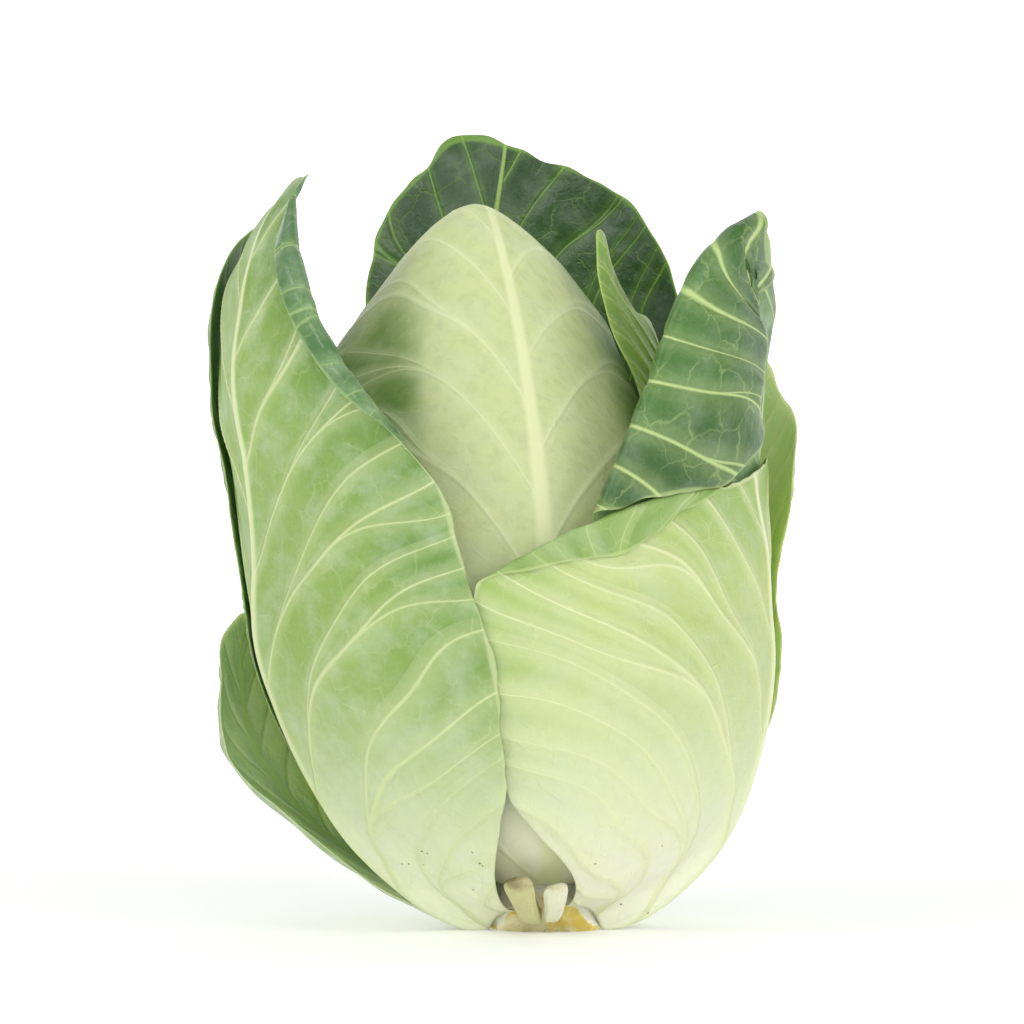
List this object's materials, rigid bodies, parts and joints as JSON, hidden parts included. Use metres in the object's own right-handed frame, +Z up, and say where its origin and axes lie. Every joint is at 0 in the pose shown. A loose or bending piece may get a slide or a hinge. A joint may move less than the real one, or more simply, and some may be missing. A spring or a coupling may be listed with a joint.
{
  "type": "pointed cabbage head",
  "caption": "Pointed cabbage head standing on its cut stump: a closed pale heart wrapped in pale leaves, with open dark green outer leaves and one folded outwards.",
  "frame": {"origin": "centre of the flat cut face at the bottom of the stump, on the surface it stands on", "axes": "+Z up from the cut stump to the tips of the leaves; -Y towards the front, where the pale front leaf of the head shows between the two pale wrapping leaves; +X to the right seen from the front"},
  "size_m": [0.1631, 0.135, 0.2189],
  "materials": {
    "heart_leaf": "satin, slightly translucent pale yellow-green leaf with a broad pale midrib and fine raised veins",
    "young_leaf": "satin, mid green young leaf with a paler curled margin",
    "wrapper_leaf": "satin, waxy pale green underside with raised pale ribs, near white at the foot; inner face mid green",
    "outer_leaf": "semi-gloss, waxy dark green upper face with yellow-green veins; paler blue-green underside with raised veins",
    "cut_stalk": "moist matt cut tissue, ochre and cream with brown specks"
  },
  "bodies": {
    "root": {"stump": "cut_stalk", "left_stalk_stub": "cut_stalk", "right_stalk_stub": "cut_stalk", "heart": "heart_leaf", "head_leaf_back": "heart_leaf", "head_leaf_front": "heart_leaf", "curled_leaf": "young_leaf", "left_leaf": "wrapper_leaf", "right_leaf": "wrapper_leaf", "back_leaf": "outer_leaf", "folded_leaf": "outer_leaf", "left_back_leaf": "outer_leaf", "right_back_leaf": "outer_leaf", "low_leaf": "outer_leaf"}
  },
  "joints": []
}
